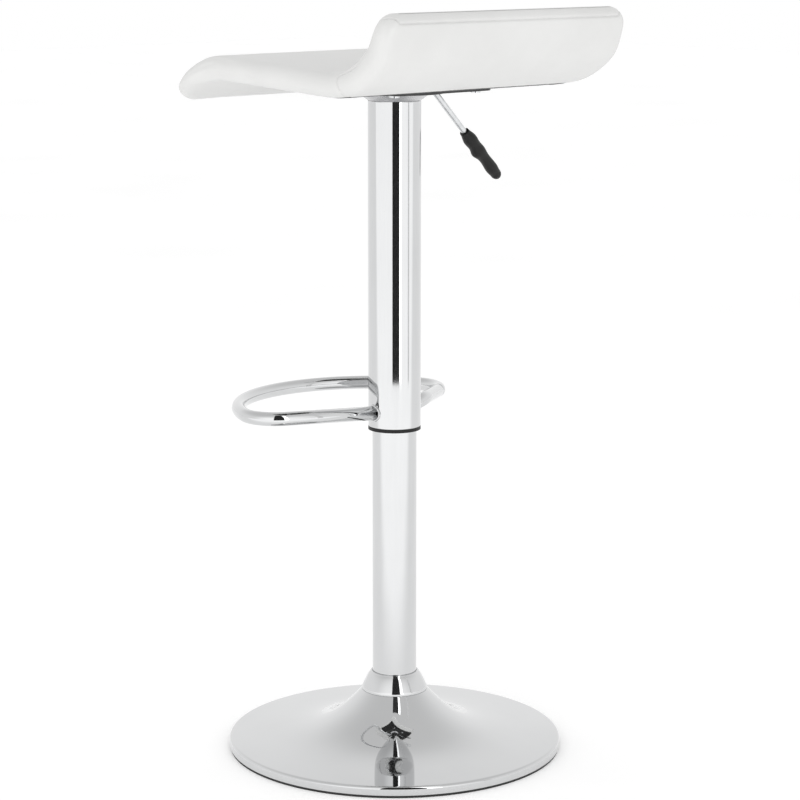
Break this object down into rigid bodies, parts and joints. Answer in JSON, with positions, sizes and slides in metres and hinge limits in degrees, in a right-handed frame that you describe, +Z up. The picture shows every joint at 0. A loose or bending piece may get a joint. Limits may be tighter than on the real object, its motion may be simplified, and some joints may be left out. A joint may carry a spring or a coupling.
{
  "type": "adjustable swivel stool",
  "caption": "Gas-lift swivel bar stool: chrome trumpet base, telescoping column, looped footrest, side lever and a white padded seat that curls up into a low back.",
  "frame": {"origin": "on the floor, on the column's axis", "axes": "+Z up along the column; -Y is the way the sitter faces, so the low back is at +Y; the lever is at -X"},
  "size_m": [0.385, 0.3914, 0.852],
  "materials": {
    "chrome": "mirror-bright chrome plate on steel",
    "black_rubber": "matt black rubber",
    "black_plastic": "satin black moulded plastic",
    "plain_steel": "bare mild steel",
    "zinc_steel": "bright zinc plate",
    "polished_steel": "ground and polished rod",
    "black_paint": "satin black paint",
    "grey_casting": "bright grey metal",
    "plywood": "bare bent plywood",
    "black_cloth": "thin black non-woven cloth",
    "white_vinyl": "soft white vinyl over foam, fine grain"
  },
  "bodies": {
    "base": {"base_shell": "chrome", "floor_ring": "black_rubber", "hub_plate": "plain_steel", "base_washer": "zinc_steel", "spring_washer": "zinc_steel", "base_nut": "zinc_steel", "column_plug": "plain_steel", "column_collar": "chrome", "column_tube": "chrome", "guide_bushing": "black_plastic", "bearing_plate": "plain_steel", "bearing_lower_washer": "zinc_steel"},
    "rod": {"piston_rod": "polished_steel", "rod_clip": "zinc_steel", "bearing_upper_washer": "zinc_steel", "thrust_balls": "zinc_steel", "stop_buffer": "black_rubber", "piston": "plain_steel"},
    "carriage": {"pressure_cylinder": "black_paint", "cylinder_gland": "black_plastic", "sleeve_tube": "chrome", "sleeve_bushing": "black_plastic", "hub_spacer": "black_plastic", "footrest": "chrome", "mech_hub": "plain_steel", "mech_dish": "grey_casting", "mech_plate": "black_paint", "lever_bracket": "plain_steel", "lever_pin": "zinc_steel", "seat_board": "plywood", "seat_liner": "black_cloth", "back_panel": "white_vinyl", "seat_cushion": "white_vinyl", "seat_bolts": "zinc_steel", "seat_washers": "zinc_steel", "tee_nuts": "zinc_steel"},
    "lever": {"lever_rod": "zinc_steel", "lever_grip": "black_plastic"},
    "valve_pin": {"valve_pin": "zinc_steel"}
  },
  "joints": [
    {"name": "seat_swivel", "type": "hinge", "parent": "base", "child": "rod", "pos_m": [0, 0, 0.104], "axis": [0, 0, 1], "continuous": true},
    {"name": "height_lift", "type": "slide", "parent": "rod", "child": "carriage", "axis": [0, 0, 1], "range_m": [-0.21, 0]},
    {"name": "lever_lift", "type": "hinge", "parent": "carriage", "child": "lever", "pos_m": [-0.0205, 0, 0.756], "axis": [0, 1, 0], "range_deg": [0, 6], "stiffness_Nm_per_rad": 15},
    {"name": "button_press", "type": "slide", "parent": "carriage", "child": "valve_pin", "axis": [0, 0, -1], "range_m": [0, 0.0025]}
  ],
  "couplings": [
    {"joint": "button_press", "follows": "lever_lift", "m_per_rad": 0.0175}
  ]
}
